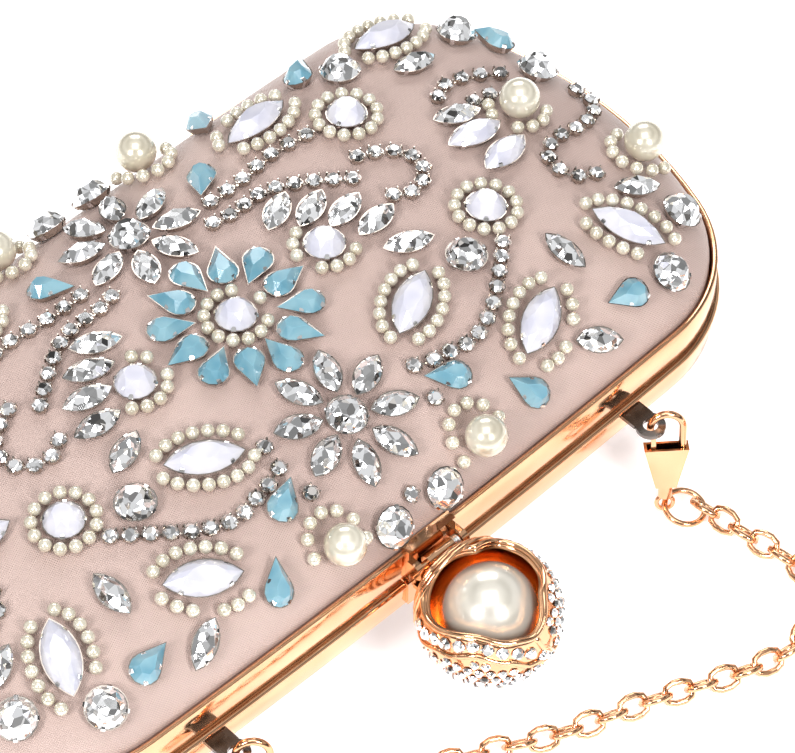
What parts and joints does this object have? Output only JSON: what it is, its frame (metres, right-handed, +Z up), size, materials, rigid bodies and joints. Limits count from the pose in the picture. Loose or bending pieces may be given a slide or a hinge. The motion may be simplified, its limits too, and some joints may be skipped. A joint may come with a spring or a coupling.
{
  "type": "evening bag",
  "caption": "Hard box clutch bag with two domed satin halves in a hinged metal frame, pearl bud clasp, jewelled front and a clip-on chain.",
  "frame": {"origin": "middle of the flat patch on the plain half, which the bag rests on", "axes": "+X along the frame's long side, +Z up through the jewelled half, clasp at -Y and hinges at +Y"},
  "size_m": [0.2479, 0.2292, 0.057],
  "materials": {
    "satin": "champagne-pink satin, fine diagonal weave with a soft sheen",
    "lining": "plain matt lining cloth",
    "shell_board": "moulded shell, unseen",
    "rose_gold": "polished light rose-gold plating",
    "dark_tab": "polished rose-gold plating that reflects dark",
    "spring_steel": "plain spring wire",
    "pearl": "ivory pearl lustre",
    "clear_stone": "faceted and foiled, bright",
    "blue_stone": "milky blue faceted resin",
    "opal_stone": "milky white faceted resin",
    "silver_setting": "bright silver-coloured metal"
  },
  "bodies": {
    "back_half": {"back_frame": "rose_gold", "back_shell": "shell_board", "back_satin": "satin", "back_lining": "lining", "back_hinge_leaves": "rose_gold", "hinge_pins": "rose_gold", "catch_plate": "rose_gold", "right_tab": "dark_tab", "left_tab": "dark_tab", "right_hook_wire": "rose_gold", "left_hook_wire": "rose_gold", "right_hook_body": "rose_gold", "left_hook_body": "rose_gold", "right_gate_pin": "rose_gold", "left_gate_pin": "rose_gold", "right_hook_eye": "rose_gold", "left_hook_eye": "rose_gold", "right_jump_ring": "rose_gold", "left_jump_ring": "rose_gold", "chain_run_right": "rose_gold", "chain_run_left": "rose_gold", "chain_coil": "rose_gold"},
    "front_half": {"front_frame": "rose_gold", "front_shell": "shell_board", "front_satin": "satin", "front_lining": "lining", "front_hinge_leaves": "rose_gold", "clasp_bracket": "rose_gold", "clasp_pin": "rose_gold", "clasp_spring": "spring_steel", "clear_round_settings": "silver_setting", "clear_round_stones": "clear_stone", "clear_navette_settings": "silver_setting", "clear_navette_stones": "clear_stone", "blue_drop_settings": "silver_setting", "blue_drop_stones": "blue_stone", "opal_round_settings": "silver_setting", "opal_round_stones": "opal_stone", "opal_navette_settings": "silver_setting", "opal_navette_stones": "opal_stone", "large_pearls": "pearl", "small_pearls": "pearl", "cup_chain_cups": "silver_setting", "cup_chain_stones": "clear_stone"},
    "bud_lever": {"clasp_lever": "rose_gold", "clasp_stem": "rose_gold", "clasp_cup": "rose_gold", "clasp_rims": "rose_gold", "clasp_pearl": "pearl", "clasp_pave": "clear_stone", "clasp_row": "clear_stone"},
    "right_gate_lever": {"right_gate": "rose_gold"},
    "left_gate_lever": {"left_gate": "rose_gold"}
  },
  "joints": [
    {"name": "lid_hinge", "type": "hinge", "parent": "back_half", "child": "front_half", "pos_m": [0, 0.0582, 0.025], "axis": [-1, 0, 0], "range_deg": [0, 100]},
    {"name": "clasp_tilt", "type": "hinge", "parent": "front_half", "child": "bud_lever", "pos_m": [0, -0.0591, 0.0312], "axis": [-1, 0, 0], "range_deg": [0, 15], "stiffness_Nm_per_rad": 0.02, "springref_deg": -25.78},
    {"name": "right_gate_swing", "type": "hinge", "parent": "back_half", "child": "right_gate_lever", "pos_m": [0.05802, -0.0633, 0.01591], "axis": [0.6287, 0.7493, -0.2079], "range_deg": [0, 25], "stiffness_Nm_per_rad": 0.002, "springref_deg": -17.19},
    {"name": "left_gate_swing", "type": "hinge", "parent": "back_half", "child": "left_gate_lever", "pos_m": [-0.05898, -0.0633, 0.01591], "axis": [0.6287, 0.7493, -0.2079], "range_deg": [0, 25], "stiffness_Nm_per_rad": 0.002, "springref_deg": -17.19}
  ]
}
